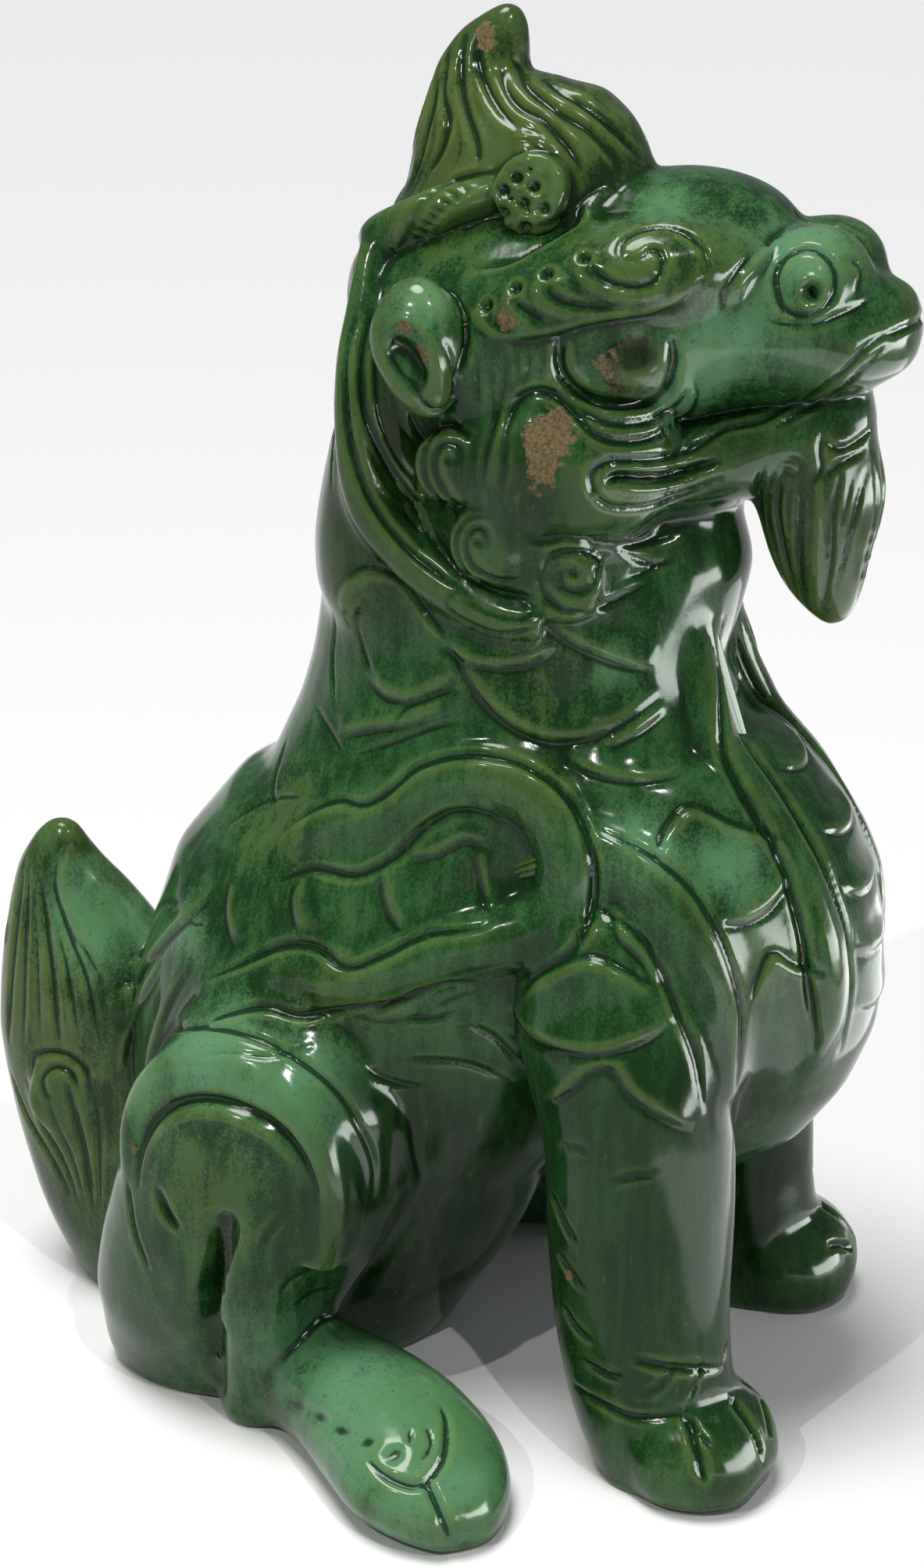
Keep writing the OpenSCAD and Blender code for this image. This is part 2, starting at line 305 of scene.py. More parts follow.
def smooth_path(path, times):
    """Evens a path and keeps its ends."""
    for _ in range(times):
        if len(path) > 4:
            path[1:-1] = 0.25 * path[:-2] + 0.5 * path[1:-1] + 0.25 * path[2:]
    return path


def nearest_on(path, spots):
    """Distance from each spot to a path, and the index of the nearest point of the path."""
    best = np.full(len(spots), np.inf)
    at = np.zeros(len(spots), int)
    for start in range(0, len(path), 64):
        gap = ((spots[:, None, :] - path[None, start:start + 64]) ** 2).sum(axis=2)
        k = gap.argmin(axis=1)
        g = gap[np.arange(len(spots)), k]
        closer = g < best
        best[closer] = g[closer]
        at[closer] = k[closer] + start
    return np.sqrt(best), at


def pressure(at, count, d, w, taper):
    """How hard the tool presses: less and less over the taper at each end, and not beyond the ends."""
    t = at / (count - 1)
    fade = np.ones(len(t))
    if taper[0] > 0:
        fade *= np.clip(t / taper[0], 0, 1) ** 0.6
    if taper[1] > 0:
        fade *= np.clip((1 - t) / taper[1], 0, 1) ** 0.6
    fade[((at == 0) | (at == count - 1)) & (d > w)] = 0
    return fade


def furrow(d, fade, w, a):
    """Height of a groove that narrows as it fades, with a slight burr on both sides."""
    wide = w * (0.5 + 0.5 * fade)
    h = -a * fade * np.exp(-(d / (0.5 * wide)) ** 2)
    return h + 0.13 * a * fade * np.exp(-((d - wide) / (0.5 * wide)) ** 2)


def bead(d, fade, w, a):
    """Height of a raised line."""
    return a * fade * np.exp(-(d / (0.55 * w)) ** 2)


def ledge(s, fade, w, a, slope):
    """Height of a step that falls back to the skin over the slope. Its foot is undercut."""
    high = a * np.exp(-(np.maximum(s, 0) / slope) ** 2) / (1 + np.exp(-s / (0.22 * w)))
    low = -0.45 * a * np.exp(-((s + 0.35 * w) / (0.5 * w)) ** 2)
    return fade * (high + low)


def tool(kind, view, width, depth, pts, taper=(0.25, 0.25), closed=False, sides=(-1, 1), fall=8.0, up=1):
    """One tool mark on each side of the lion. Width, depth and fall are in mm, and a taper is a share
    of the length. An edge is high on the side that up gives."""
    flat = curve_through(pts, closed)
    w, a = width * MM * WIDTH_SHARE, depth * MM * DEPTH_SHARE
    reach = fall * MM * 1.9 if kind == "edge" else w * 1.6
    for side in sides:
        path = smooth_path(on_skin(flat, side, view), 3)
        if len(path) < 3:
            continue
        inside = (points > path.min(axis=0) - reach) & (points < path.max(axis=0) + reach)
        near = np.flatnonzero(inside.all(axis=1))
        d, at = nearest_on(path, points[near])
        near, at, d = near[d < reach], at[d < reach], d[d < reach]
        fade = np.ones(len(at)) if closed else pressure(at, len(path), d, w, taper)
        if kind == "groove":
            relief[near] += furrow(d, fade, w, a)
        elif kind == "ridge":
            relief[near] += bead(d, fade, w, a)
        else:
            tangent = np.gradient(path, axis=0)
            tangent /= np.maximum(np.linalg.norm(tangent, axis=1, keepdims=True), 1e-12)
            sideways = np.cross(tangent[at], normals[near])
            s = ((points[near] - path[at]) * sideways).sum(axis=1) * side * up
            relief[near] += ledge(s, fade, w, a, fall * MM * 0.8)


def groove(view, width, depth, *lines, **more):
    for pts in lines:
        tool("groove", view, width, depth, pts, **more)


def ridge(view, width, height, *lines, **more):
    for pts in lines:
        tool("ridge", view, width, height, pts, **more)


def edge(view, width, height, *lines, **more):
    for pts in lines:
        tool("edge", view, width, height, pts, **more)


def hole(view, radius, depth, *spots, rim=0.15, soft=9.0):
    """Drilled holes with a slight rim. A low soft value makes a dent instead."""
    r, a = radius * MM, depth * MM
    for spot in spots:
        for side in (-1, 1):
            found = on_skin([np.array(spot, float) * MM], side, view)
            if len(found) == 0:
                continue
            d = np.linalg.norm(points - found[0], axis=1)
            near = np.flatnonzero(d < 2.2 * r)
            d = d[near] / r
            bank = rim * np.exp(-((d - 1.25) / 0.35) ** 2)
            relief[near] += a * (bank - 1 / (1 + np.exp((d - 0.8) * soft)))


def arc(centre, radius, start, end):
    """Points along an arc, angles in degrees."""
    turns = [math.radians(start + (end - start) * i / 14) for i in range(15)]
    return [(centre[0] + radius * math.cos(a), centre[1] + radius * math.sin(a)) for a in turns]


def spiral(view, width, depth, centre, start, end, turns, angle):
    """A groove winding out from radius start to radius end, from angle in degrees."""
    n = max(8, int(turns * 10))
    pts = []
    for i in range(n + 1):
        t = i / n
        a = math.radians(angle) + 2 * math.pi * turns * t
        r = start + (end - start) * t
        pts.append((centre[0] + r * math.cos(a), centre[1] + r * math.sin(a)))
    tool("groove", view, width, depth, pts)


def fan(view, width, depth, first, last, count):
    """Hair: grooves of uneven depth that pass evenly from one guide line to the other."""
    a, b = np.array(first, float), np.array(last, float)
    for i in range(count):
        t = i / (count - 1)
        wave = 1 + 0.25 * math.sin(2.3 * i + 0.7)
        tool("groove", view, width * wave, depth * wave, a * (1 - t) + b * t)


# crest: flowing locks that close at the tip
groove("side", 3.4, 2.0,
       [(-16, 478), (-20, 462), (-24, 448), (-27, 434)],
       [(-13, 482), (-14, 466), (-17, 452), (-22, 438)],
       [(-10, 486), (-10, 472), (-6, 464), (-8, 454), (-13, 446)],
       [(-4, 491), (-4, 480), (-1, 470), (6, 458), (9, 449)],
       [(1, 492), (2, 482), (7, 474), (14, 467), (21, 462)],
       [(9, 481), (13, 474), (19, 469), (28, 465), (38, 456), (43, 448)],
       [(11, 484), (18, 476), (30, 469), (42, 462), (50, 454), (53, 448)],
       [(16, 482), (24, 476), (38, 470), (50, 461), (58, 451)])
groove("side", 1.8, 0.9,
       [(-12, 480), (-12, 464), (-12, 454), (-18, 442)],
       [(-7, 487), (-7, 474), (-3, 465), (0, 455), (-2, 447)],
       [(-1, 488), (1, 476), (6, 466), (14, 458)],
       [(6, 482), (10, 474), (17, 467), (26, 461), (32, 453)],
       [(14, 478), (24, 471), (36, 464), (45, 456), (48, 449)],
       [(22, 479), (36, 472), (50, 463), (60, 452)])

# leaf tuft behind the boss, with combed veins
edge("side", 2.2, 1.6, [(14, 450), (2, 447), (-8, 440), (-12, 431), (-19, 421)], up=-1, fall=6)
edge("side", 2.2, 1.2, [(15, 447), (8, 443), (1, 438), (-6, 430)], fall=5)
for i in range(8):
    groove("side", 1.8, 1.7,
           [(1.5 - 1.9 * i, 447 - 2.6 * i), (5 - 1.9 * i, 446 - 2.7 * i), (8.5 - 2.1 * i, 443.5 - 2.5 * i)])

# beaded boss with drilled eyes
hole("side", 2.1, 3.0, (25, 449), (21, 445), (31, 446.5), (28, 441.5), (35, 440), (29, 434), (21.5, 438))
ridge("side", 2.4, 1.2, [(20, 457), (26, 456.5), (32, 453)], [(22, 453.5), (28, 453.5), (34, 450)],
      [(18, 460), (26, 460), (34, 456)])

# brow: spiral, four flutes with drilled ends, and the rolled edges
edge("side", 3.0, 2.2, [(11, 420), (25, 422), (35, 427), (44, 433), (43, 439), (50, 446)], up=-1, fall=9)
groove("side", 2.3, 2.0,
       [(65, 428), (68, 427), (71, 428.5), (74, 431), (77, 428), (76, 422), (70, 419.5), (63, 420.5),
        (57, 423.5), (53, 426.5)],
       [(68, 427), (64, 428.5), (63, 431.5), (67, 435), (75, 436.5), (83, 434.5), (89, 430), (91, 424)],
       [(41, 420), (43, 416.5), (48, 413.8), (56, 413), (66, 413.5)],
       [(31, 414), (35, 411), (41, 408.5)],
       [(22, 409), (26, 405), (32, 403.5)])
ridge("side", 3.2, 1.3,
      [(50, 425), (54, 420.5), (62, 417), (71, 416), (79, 419)],
      [(38, 420), (38.5, 415.5), (43, 411.5), (50, 409.8)],
      [(28, 415), (28.5, 411), (33, 407.5), (38, 405)],
      [(18.5, 410), (19, 405.5), (24, 401.5), (31, 400)])
hole("side", 2.0, 3.0, (52.5, 427.5), (41, 422), (31, 417), (21.5, 411))
edge("side", 3.4, 2.4, [(18, 408), (21, 403), (28, 401.5), (37, 402), (45, 404), (54, 407), (64, 409),
     (75, 411), (84, 416), (90, 423)], fall=7)

# eye: round ball deep in its socket, double lower lid, arched cheek line
groove("side", 4.0, 3.6, [(46, 404), (45, 394), (48, 386), (55, 381.5), (64, 379.5), (71, 380), (77, 385),
       (80, 394), (79, 402)], taper=(0.1, 0.1))
hole("side", 6.0, 2.2, (70, 397.5), rim=0.05, soft=5.0)
ridge("side", 3.2, 1.6, [(44, 389), (48, 383), (55, 378.5), (64, 376.5), (72, 377), (79, 382), (83, 389)])
groove("side", 2.2, 1.6, [(43, 387), (52, 379), (62, 374.5), (71, 374), (77, 377), (82, 384)])
ridge("side", 2.4, 1.1, [(40, 385), (50, 376), (62, 372), (72, 371.5), (79, 375), (84, 383)])
groove("side", 2.8, 2.2, [(29, 362), (28.5, 372), (31, 380), (36, 384), (43, 383.5), (50, 377.5),
       (58, 371.5), (66, 369), (74, 369.5), (81, 374), (85, 382), (85, 388)])
ridge("side", 3.0, 1.0, [(33, 374), (38, 380), (44, 379.5), (52, 373), (60, 367.5), (68, 366), (76, 367)])
groove("side", 2.0, 1.0, [(28, 368), (29, 360), (27, 350), (30, 342)])

# mouth: lip line, the open slit at the corner, and the looped lip round it
groove("side", 2.6, 2.2, [(59, 352), (57.5, 357), (59, 361.5), (65, 363.5), (75, 362.5), (81, 362.5),
       (86, 365), (92, 369), (100, 371), (106, 373), (114, 379), (122, 385)], taper=(0.02, 0.3))
groove("side", 3.4, 5.0, [(61.5, 357), (66, 358), (74, 356.5), (80, 355.5), (87, 358), (93, 360)],
       taper=(0.1, 0.25))
groove("side", 2.4, 1.8, [(59, 352), (61, 349), (66, 347), (74, 346.5), (81, 348), (88, 351.5),
       (94, 354)], taper=(0.02, 0.3))
ridge("side", 2.6, 1.2, [(64, 353), (70, 352), (78, 351.5), (86, 354)])
edge("side", 3.0, 2.0, [(33, 335), (40, 334), (49, 336), (57, 332.5), (64, 329), (72, 330), (80, 333)],
     fall=8, up=-1)
groove("side", 2.2, 1.8, [(108, 370), (119, 377), (128, 382.5), (136, 391), (144, 399)],
       [(111, 375), (121, 382), (131, 391), (139, 400), (147, 404)])
groove("front", 2.2, 1.6, [(19, 401), (12, 403), (0, 404)], taper=(0.1, 0))

# nose: ringed nostril with a drilled hole, wing and crease
groove("side", 2.6, 2.2, [(109, 419), (110.5, 426), (117, 429), (123.5, 427), (127.5, 421), (126.5, 414),
       (120, 409.5), (112.5, 411)], closed=True)
hole("side", 3.4, 6.5, (121, 416.5), rim=0.18)
ridge("side", 3.4, 1.6, [(107, 431), (104, 426), (99.5, 420), (98, 413)])
groove("side", 2.6, 1.5, [(103, 430), (99, 424), (95, 417), (94, 410)],
       [(106, 408), (113, 406.5), (121, 406.5), (131, 409.5), (138, 413)])
groove("side", 2.4, 1.6, [(129, 427), (134, 422), (133, 415)])
groove("front", 3.0, 2.0, [(0, 437), (0, 430), (0, 422)])

# drooping ear with its hollow
groove("side", 3.0, 2.4, [(-9, 398), (-5, 391), (1, 384), (5, 377), (10, 380), (13, 390), (15, 399),
       (14, 407), (9, 414)], taper=(0.1, 0.2))
groove("side", 8.0, 5.0, [(-7, 401), (-2, 396), (2, 390), (3, 383)], taper=(0.2, 0.3))
ridge("side", 2.6, 1.4, [(-9, 405), (-3, 407.5), (3, 405.5), (7, 400), (9, 392), (9.5, 383)])
groove("side", 2.0, 1.4, [(10, 402), (12, 394), (12, 384)])

# hair between ear and eye
groove("side", 2.2, 1.4,
       [(18, 402), (19, 390), (18, 377)],
       [(22, 400), (23, 388), (23, 374), (22, 361), (20, 348)],
       [(28, 399), (28, 388), (25, 377), (24, 366)],
       [(35, 400), (36, 392), (32, 385)],
       [(41, 400), (40, 393), (38, 388)])
groove("side", 1.4, 0.7, [(20, 401), (21, 389), (20.5, 376)], [(25, 400), (25.5, 388), (25, 380)],
       [(31.5, 400), (32, 390), (28, 381)], [(38, 400), (38, 392), (35, 386)])

# curls of the mane
groove("side", 2.4, 2.2,
       [(11, 359), (13, 362), (11, 365.5), (6, 365), (4, 360), (5, 354), (8.5, 348), (13, 342)],
       [(17, 367), (11, 370), (4, 369), (0.5, 362), (1, 353), (6, 345), (12, 338)],
       [(20, 331), (22.5, 334.5), (20, 338.5), (15.5, 336), (15, 329), (19, 323.5), (25, 320.5), (32, 320)],
       [(22, 342), (16, 341), (11.5, 335), (12, 326), (18, 318.5), (27, 315), (37, 314.5)],
       [(40, 322), (41, 328), (47, 331.5), (54, 330), (57.5, 324.5), (55, 319), (49, 317.5),
        (45.5, 320.5), (47, 324.5), (51, 325)],
       [(38, 324), (40, 316), (47, 311), (56, 310.5), (63, 313), (70, 317)])
groove("side", 1.8, 1.4,
       [(16, 313), (23, 309.5), (32, 307.5), (42, 309)],
       [(13, 317), (8, 312), (14, 306), (26, 302.5), (37, 305), (43, 308)],
       [(58, 331), (64, 326), (70, 323), (77, 323)],
       [(62, 319), (70, 321), (77, 326)],
       [(52, 336), (60, 336), (66, 333)])
hole("side", 1.4, 1.6, (9, 360.5), (19, 333.5), (50, 324))

# rope-like border of the mane, and the hair beside it
groove("side", 2.8, 2.4,
       [(-27, 404), (-29, 392), (-28, 376), (-25.5, 363), (-21, 350), (-14, 338.5), (-5, 329), (5, 321.5),
        (15, 315)],
       [(-22, 407), (-23.5, 391), (-22, 375), (-18, 362), (-13, 350.5), (-6, 339), (3, 330), (10, 325)])
ridge("side", 2.6, 1.0, [(-25, 380), (-22.5, 364), (-17.5, 351), (-10.5, 339.5), (-1, 329.5), (8, 322)])
groove("side", 1.8, 1.2,
       [(-18, 402), (-19.5, 388), (-18, 372), (-14, 360), (-8, 349), (-1, 339)],
       [(-14, 394), (-14, 380), (-11, 368), (-6, 358), (-1, 350)],
       [(-33, 410), (-35, 394), (-34, 376), (-32, 360)],
       [(-41, 400), (-43, 380), (-41, 360), (-37, 342)],
       [(-8, 378), (-8, 370), (-5, 362), (-2, 356)])
groove("back", 2.4, 1.6, [(0, 408), (0, 385), (0, 360), (0, 338)],
       [(10, 410), (12, 385), (12, 360), (9, 336)], [(21, 410), (24, 388), (23, 362), (18, 338)],
       [(32, 408), (37, 388), (35, 364), (28, 344)])

# leaf locks down the neck
edge("side", 3.0, 2.2, [(-4, 304), (4, 296.5), (12, 291.5), (22, 289.5), (34, 291), (44, 297)], fall=10)
edge("side", 3.0, 2.0, [(38, 307), (46, 300), (54, 295), (64, 290.5), (74, 288)], fall=9)
edge("side", 3.4, 2.8, [(8, 296), (13, 288), (19, 279), (28, 271), (40, 265.5), (52, 265.5), (64, 271),
     (76, 280)], fall=12)
edge("side", 3.0, 2.2, [(-36, 303), (-31, 313), (-22, 319), (-13, 316), (-4, 308), (5, 297), (11, 288)],
     fall=9, up=-1)
edge("side", 3.0, 2.2, [(-26, 281), (-17, 275), (-6, 275), (4, 280), (12, 286)], fall=9)
groove("side", 2.2, 1.4, [(-22, 309), (-29, 297), (-26, 285), (-18, 276)],
       [(-41, 300), (-43, 280), (-39, 264)], [(13, 281), (2, 277), (-8, 271), (-14, 262)])
edge("side", 2.8, 2.0, [(47, 263), (52, 257), (64, 254.5), (77, 254), (88, 256)], fall=8)
edge("side", 2.6, 1.8, [(-36, 256), (-22, 262), (-8, 266), (6, 272)],
     [(60, 263), (70, 268), (78, 274)], fall=8)
groove("side", 2.0, 1.2, [(-50, 262), (-40, 256), (-32, 250)],
       [(-28, 252), (-14, 258), (2, 266), (14, 270)])

# flank ribbon: the groove on both edges of the band
groove("side", 3.4, 2.4,
       [(-57, 219), (-44, 230), (-31, 237), (-21, 238), (-12, 244), (-1, 254), (15, 260), (31, 260),
        (45, 254), (55, 244), (62, 229), (62, 210), (57, 198), (45, 188), (33, 180)],
       [(-55, 204), (-40, 212), (-23, 213), (-9, 221), (2, 233), (13, 240), (24, 239.5), (30, 235)],
       [(31, 207), (23, 202), (6, 198), (-10, 189), (-21, 184), (-34, 187), (-46, 186), (-60, 179),
        (-80, 166)],
       [(-79, 154), (-64, 162), (-50, 166), (-36, 164), (-20, 168), (-3, 172), (12, 180), (23, 181)])
groove("side", 1.8, 1.2, [(-28, 166), (-10, 163), (4, 167), (16, 174), (26, 178)],
       [(-74, 148), (-60, 153), (-44, 153), (-30, 156)])

# scale plates inside and behind the ribbon
edge("side", 2.6, 1.8, [(-44, 209), (-46, 201), (-42, 190)], [(-12, 216), (-10, 206), (-4, 197)], fall=10)
edge("side", 2.4, 1.6, [(20, 227), (23, 215), (26, 207)], fall=4)
edge("side", 2.6, 1.6, [(-74, 200), (-74, 190), (-69, 180)],
     [(-2, 222), (6, 224), (16, 230), (24, 228)], fall=8)
groove("side", 2.2, 1.2,
       [(-48, 233), (-62, 228), (-76, 220), (-88, 210)],
       [(-100, 184), (-110, 180), (-117, 173)],
       [(-84, 183), (-92, 180)],
       [(-64, 246), (-66, 232), (-60, 222)])
edge("side", 3.0, 2.0, [(-132, 126), (-126, 142), (-114, 158), (-98, 176), (-80, 196)],
     [(-136, 98), (-134, 114), (-122, 136), (-106, 160)], fall=8)
edge("side", 2.6, 1.6, [(-116, 108), (-108, 130), (-98, 152), (-88, 168)], fall=8)

# belly folds under the ribbon
groove("side", 2.4, 1.6,
       [(-16, 147), (-8, 140.5), (4, 137)],
       [(-6, 148), (7, 149), (18, 147), (28, 141), (34, 137)],
       [(-22, 163), (-10, 168), (2, 176), (14, 181)],
       [(-2, 165), (7, 165.5), (16, 169)],
       [(18, 164), (27, 158), (34, 147)])

# shoulder: broad band with grooved edges, diamond plate and fold lines
groove("side", 3.2, 2.2,
       [(61, 240), (79, 234), (93, 224), (103, 211), (110, 195), (114, 178), (114, 161), (113, 148)],
       [(63, 213), (78, 206), (87, 194), (94, 181), (101, 165), (105, 146)])
edge("side", 2.8, 2.0, [(68, 213), (74, 204), (82, 197), (86, 190)], fall=8)
edge("side", 3.0, 2.4, [(38, 176), (48, 188), (63, 197), (75, 194), (87, 187)], fall=12, up=-1)
edge("side", 3.0, 2.2, [(31, 168), (44, 165), (60, 165.5), (74, 168), (86, 173), (94, 179)], fall=9)
groove("side", 1.8, 1.2, [(31, 163), (44, 161), (60, 161.5)], [(30, 161), (36, 152), (45, 146)])
edge("side", 2.8, 2.0, [(49, 141), (60, 151), (68, 160), (75, 162.5), (81, 155), (89, 149), (102, 141)],
     fall=9)
groove("side", 2.2, 1.4, [(75, 121), (84, 125), (93, 127)], [(55, 128), (64, 131), (70, 130)])

# breast bands and the plates between and beside them
groove("front", 3.6, 2.6, [(23, 300), (25, 284), (31, 271), (36, 258), (40, 242), (42, 227), (44, 212),
       (45, 199), (45, 185), (44, 170), (42, 157)])
groove("front", 4.0, 3.6, [(13, 303), (15, 289), (18, 274), (22, 258), (25, 242), (27, 227), (28, 212),
       (28, 196), (28, 181), (28, 163), (27, 152)])
edge("side", 3.2, 2.4, [(84, 230), (85, 239), (91, 245.5), (104, 239), (115, 234), (122, 231)],
     fall=12, up=-1)
edge("side", 2.8, 2.0, [(105, 210), (112, 209.5), (119, 213), (124, 221)], fall=9)
edge("side", 2.8, 2.0, [(116, 181), (118, 190), (121, 197), (128, 191), (138, 187)], fall=9, up=-1)
for i in range(6):
    z = 268 - 21 * i
    half = 16 + 2.2 * i if i < 4 else 24
    edge("front", 2.8, 1.6,
         [(-half, z + 5), (-half * 0.5, z + 1), (0, z), (half * 0.5, z + 1), (half, z + 5)],
         sides=(1,), fall=9, up=-1)

# haunch: a broad ring round a recessed disc, slots, and the valley between rump and shank
groove("side", 3.0, 1.6, arc((-60, 107), 51, 195, -10))
groove("side", 4.6, 3.4, arc((-60, 100), 36.5, 190, 5))
ridge("side", 3.0, 1.1, arc((-60, 99), 31.5, 175, 15))
groove("side", 1.3, 0.5, [(-77, 122), (-73, 115), (-66, 106), (-61, 102)],
       [(-42, 120), (-50, 112), (-56, 104)])
groove("side", 11.0, 2.8, [(-57, 97), (-59, 84), (-62, 64), (-66, 40), (-70, 14)], taper=(0.05, 0))
groove("side", 4.6, 3.6, [(-87, 99), (-82, 90), (-76, 85)], taper=(0.4, 0.4))
groove("side", 3.0, 2.4, [(-102, 94), (-99, 78), (-92, 62)])
groove("side", 2.2, 1.3, [(-44, 84), (-41, 92), (-36, 99)], [(-38, 66), (-35, 72), (-29, 74)],
       [(-36, 58), (-31, 62), (-24, 60)])

# tail: flame hair from the root, a curl, and the smooth facet
fan("side", 2.8, 1.7, [(-184, 176), (-187, 152), (-189, 127), (-190, 100)],
    [(-172, 172), (-161, 150), (-152, 134), (-145, 108)], 6)
fan("side", 1.6, 0.8, [(-181, 174), (-183, 152), (-184, 127), (-184, 104)],
    [(-176, 172), (-165, 152), (-157, 135), (-150, 110)], 5)
edge("side", 3.0, 1.8, [(-166, 184), (-168, 172), (-162, 156), (-152, 145), (-143, 132)], fall=8)
fan("side", 2.8, 1.7, [(-192, 88), (-184, 72), (-172, 58), (-160, 40)],
    [(-149, 96), (-147, 78), (-147, 60), (-148, 36)], 5)
groove("side", 2.6, 2.0, [(-155, 88), (-157, 96), (-164, 99), (-170, 95), (-170, 88), (-165, 84)],
       [(-150, 86), (-152, 100), (-163, 105), (-175, 101), (-177, 90)])
groove("back", 2.8, 1.7, [(5, 184), (7, 150), (9, 110), (9, 70), (6, 30)],
       [(-4, 180), (-5, 150), (-3, 110), (-3, 70), (-2, 30)],
       [(14, 170), (16, 140), (18, 108), (16, 66), (12, 34)], sides=(1,))

# paws: arched knuckle cuts, clefts between the toes, thumb dents
groove("slant", 3.2, 2.4, [(137, 3, 30), (142, 13, 26), (142, 24, 24), (138, 29, 26), (130, 31, 30),
       (120, 28, 35), (112, 22, 38)])
groove("slant", 3.4, 2.8, [(140, 28, 25), (144, 34, 17), (142, 37, 6)], taper=(0.05, 0.2))
groove("slant", 2.0, 1.4, [(137, 24, 29), (130, 26, 33), (123, 21, 36)], [(133, 19, 33), (126, 17, 36)])
groove("slant", 7.0, 1.5,
       [(107, -38, 23), (109, -32, 24), (111, -26, 25)],
       [(117, -26, 26.5), (119, -20, 28), (121, -14, 29.5)],
       [(125, -15, 28), (127, -9, 30), (129, -3, 31.5)],
       [(131, -2, 29), (133, 4, 32), (135, 9, 34)],
       [(136, 10, 28), (136, 15, 31), (136, 19, 34)], taper=(0.5, 0.5))
groove("slant", 3.0, 2.2, [(82, 62, 36), (86, 73, 33.5), (89, 84, 32), (88, 94, 33), (85, 103, 35)],
       [(40, 66, 36), (36, 78, 33), (36, 92, 33), (40, 104, 35)])
groove("slant", 1.8, 1.2, [(86, 79, 36), (88, 88, 36), (85, 98, 37)])
groove("slant", 3.2, 2.6, [(85, 104, 34), (91, 109, 26), (93, 113, 14)],
       [(69, 116, 34), (71, 125, 24), (71, 129, 12)], [(50, 114, 34), (49, 122, 24), (49, 125, 12)],
       taper=(0.05, 0.2))
groove("slant", 2.2, 1.4, [(85, 104, 34), (90, 114, 26)], [(81, 99, 52), (84, 95, 45), (87, 88, 39)],
       [(74, 107, 52), (77, 105, 44), (80, 103, 38)], [(52, 108, 50), (50, 107, 44), (46, 104, 38)])
groove("slant", 2.6, 1.9,
       [(77, 51, 109), (80, 57, 99), (83, 63, 92)],
       [(79, 54, 87), (82, 60, 81), (83, 65, 75)],
       [(79, 56, 67), (83, 63, 60), (86, 71, 56)],
       [(84, 65, 49), (86, 74, 46), (87, 82, 46)])

# beard: combed hair, a centre ridge and small curls
groove("side", 2.4, 1.7,
       [(106, 360), (102, 342), (104, 328), (111, 312)],
       [(112, 358), (109, 343), (111, 328), (116, 308)],
       [(118, 354), (117, 336), (117, 318), (120, 303)],
       [(130, 356), (128, 340), (127, 322), (124, 306)],
       [(137, 356), (135, 342), (132, 328), (128, 312)])
groove("side", 1.5, 0.8, [(109, 359), (105.5, 342), (108, 325), (114, 308)],
       [(115, 356), (113, 340), (114, 323), (118, 305)], [(133.5, 356), (131.5, 342), (129, 326)])
ridge("side", 3.0, 1.5, [(123, 356), (123.5, 340), (122.5, 322), (122, 304)])
groove("side", 2.2, 1.8, [(124, 370), (123, 363), (124, 357), (121, 352)],
       [(124, 366), (129, 363), (135, 366), (139, 373)], [(124, 353), (129, 358), (136, 362)])
spiral("side", 1.8, 1.4, (114, 356), 0.8, 4.6, 1.4, 40)
groove("front", 2.2, 1.4, [(0, 360), (0, 342), (0, 324), (0, 308)],
       [(7, 358), (6, 340), (4, 322), (2, 306)])

# the hand-made surface: soft swells left by fingers and sponge, and a flat foot to stand on
WAVES = [(31, 17, 23), (19, 37, -29), (-43, 29, 41), (61, -47, 37), (-83, 71, 59)]
SWELL_HEIGHT = 0.00022
swell = np.zeros(len(points))
for i, (fx, fy, fz) in enumerate(WAVES):
    phase = points[:, 0] * fx * 2 + points[:, 1] * fy * 2 + points[:, 2] * fz * 2 + 1.7 * i
    swell += np.sin(phase + 1.3 * np.sin(phase.mean() + points[:, 2] * 35 + i)) / (1 + 0.45 * i)

above = np.clip((points[:, 2] - 0.0015) / 0.003, 0, 1)
tooled = points + normals * ((relief + SWELL_HEIGHT * swell) * above)[:, None]
tooled = relax(tooled, edges, max(1, int(2 * scale)), 0.5)
tooled = np.minimum(np.maximum(tooled, np.array(cad_low)), np.array(cad_high))
normals = point_normals(tooled, quads)


# ---------------------------------------------------------------- what the glaze does: pooled, thin, worn; with painted shade and painted highlight

wide = relax(tooled, edges, max(4, int(30 * scale * scale)))
narrow = relax(tooled, edges, max(1, int(6 * scale * scale)))
# how hollow the skin is: hollows get pooled glaze and painted shade, edges get worn glaze
hollow_wide = ((wide - tooled) * normals).sum(axis=1) / 0.0009
hollow_fine = ((narrow - tooled) * normals).sum(axis=1) / 0.00022
cavity = np.clip(0.5 + 0.25 * hollow_wide + 0.25 * hollow_fine, 0, 1)
marks = {"cavity": relax(cavity, edges, 1)}


def patch(out, forward, z, radius, tall=1.0):
    """A soft spot on both sides, centred on a point in mm."""
    d = ((np.abs(points[:, 0]) - out * MM) / (radius * MM)) ** 2
    d += ((SHIFT * MM - points[:, 1] - forward * MM) / (radius * MM)) ** 2
    d += ((points[:, 2] - z * MM) / (radius * tall * MM)) ** 2
    return np.exp(-d)


def soft_spots(patches):
    return sum(patch(*p) for p in patches)


# turquoise where the glaze runs thick and milky, partly painted highlight: ear, ring, paws, muzzle, throat
# and breast
marks["teal_and_highlight"] = soft_spots([
    (70, 4, 413, 9), (98, -98, 134, 17), (98, -66, 152, 19), (100, -34, 142, 19), (96, -16, 118, 15),
    (116, 4, 44, 34), (130, 30, 26, 34), (40, 92, 398, 16), (36, 78, 384, 12), (60, 78, 232, 12),
    (52, 106, 228, 12), (28, 116, 434, 18), (40, 60, 288, 9), (62, 24, 345, 9), (88, -50, 46, 18),
    (14, -152, 156, 23), (66, -98, 180, 14), (30, 70, 444, 14)])
